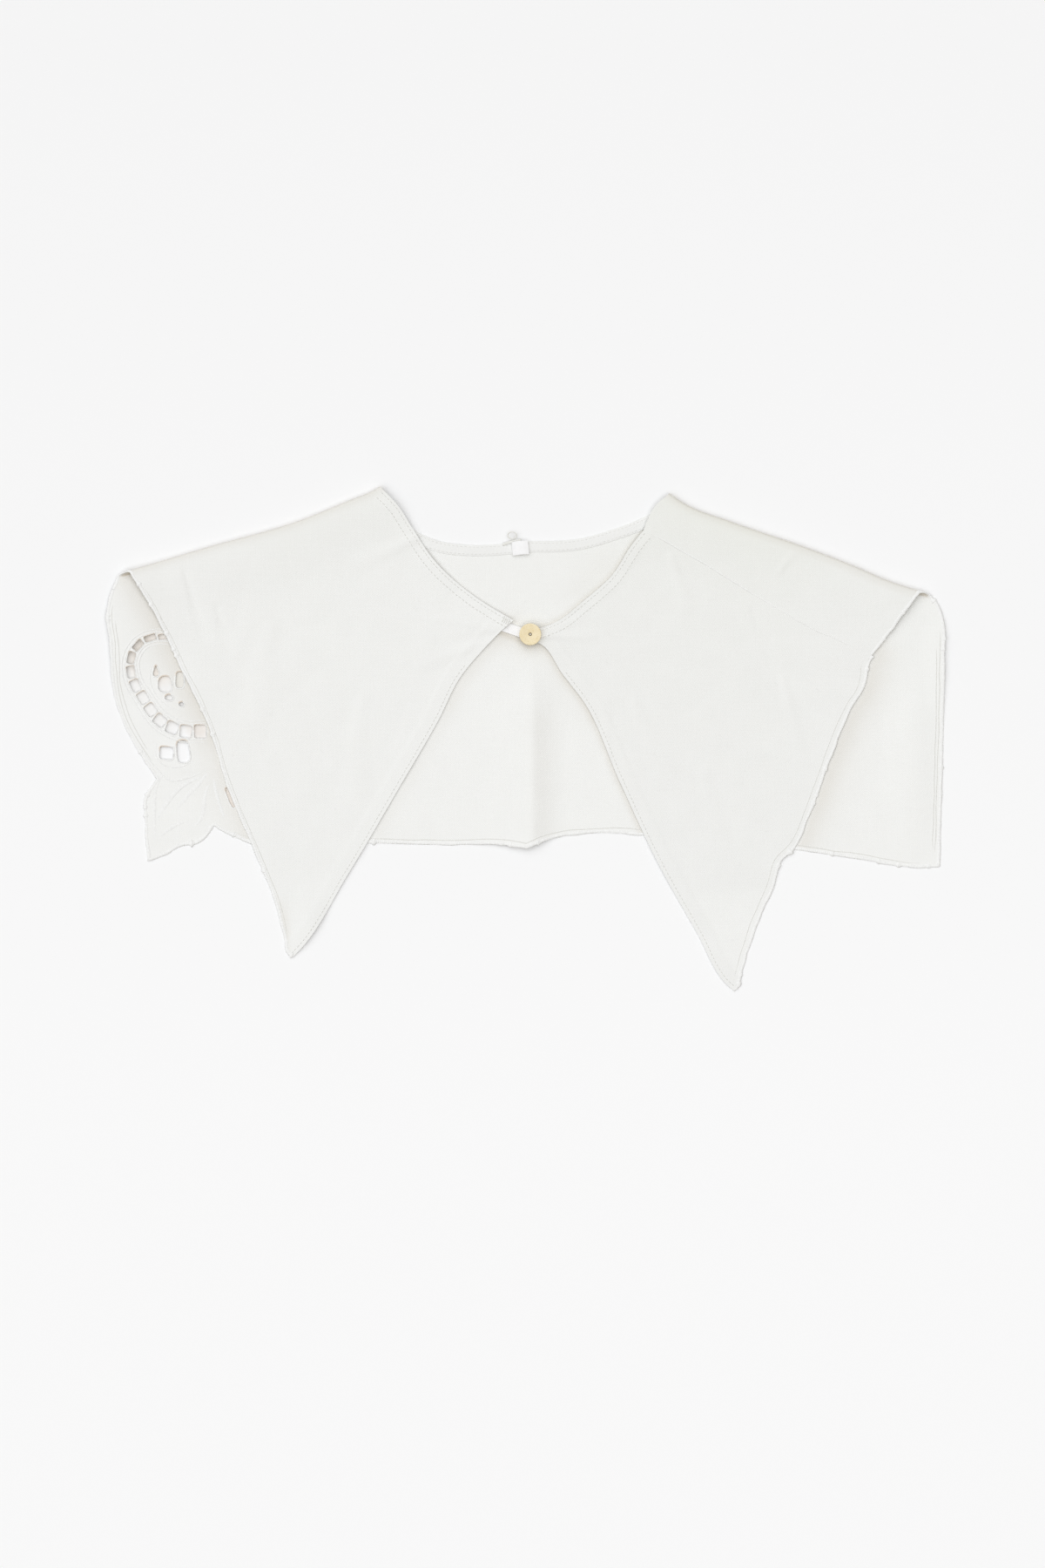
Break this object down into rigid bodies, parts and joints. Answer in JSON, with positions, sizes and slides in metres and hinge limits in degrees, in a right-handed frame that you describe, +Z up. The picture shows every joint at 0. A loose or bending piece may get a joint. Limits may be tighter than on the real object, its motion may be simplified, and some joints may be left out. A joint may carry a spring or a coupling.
{
  "type": "detachable collar",
  "caption": "White woven detachable collar laid flat, with long pointed fronts, an openwork corner with a leaf-shaped end, and a button closure at the neck.",
  "frame": {"origin": "middle of the collar's outline as seen from above, on the surface that it lies on", "axes": "+X to the wearer's left, which is the viewer's right, +Y towards the neck, +Z up from the surface"},
  "size_m": [0.4615, 0.2774, 0.0067],
  "materials": {
    "cloth": "matte plain-woven white cotton or linen",
    "ribbon": "smooth bright white ribbon",
    "button": "cream, finely speckled, soft gloss",
    "pin": "dull metal"
  },
  "bodies": {
    "root": {"back": "cloth", "front_left": "cloth", "front_right": "cloth", "neck_facing": "cloth", "label": "ribbon", "hanging_loop": "ribbon", "button_tab": "ribbon", "button": "button", "button_pin": "pin"}
  },
  "joints": []
}
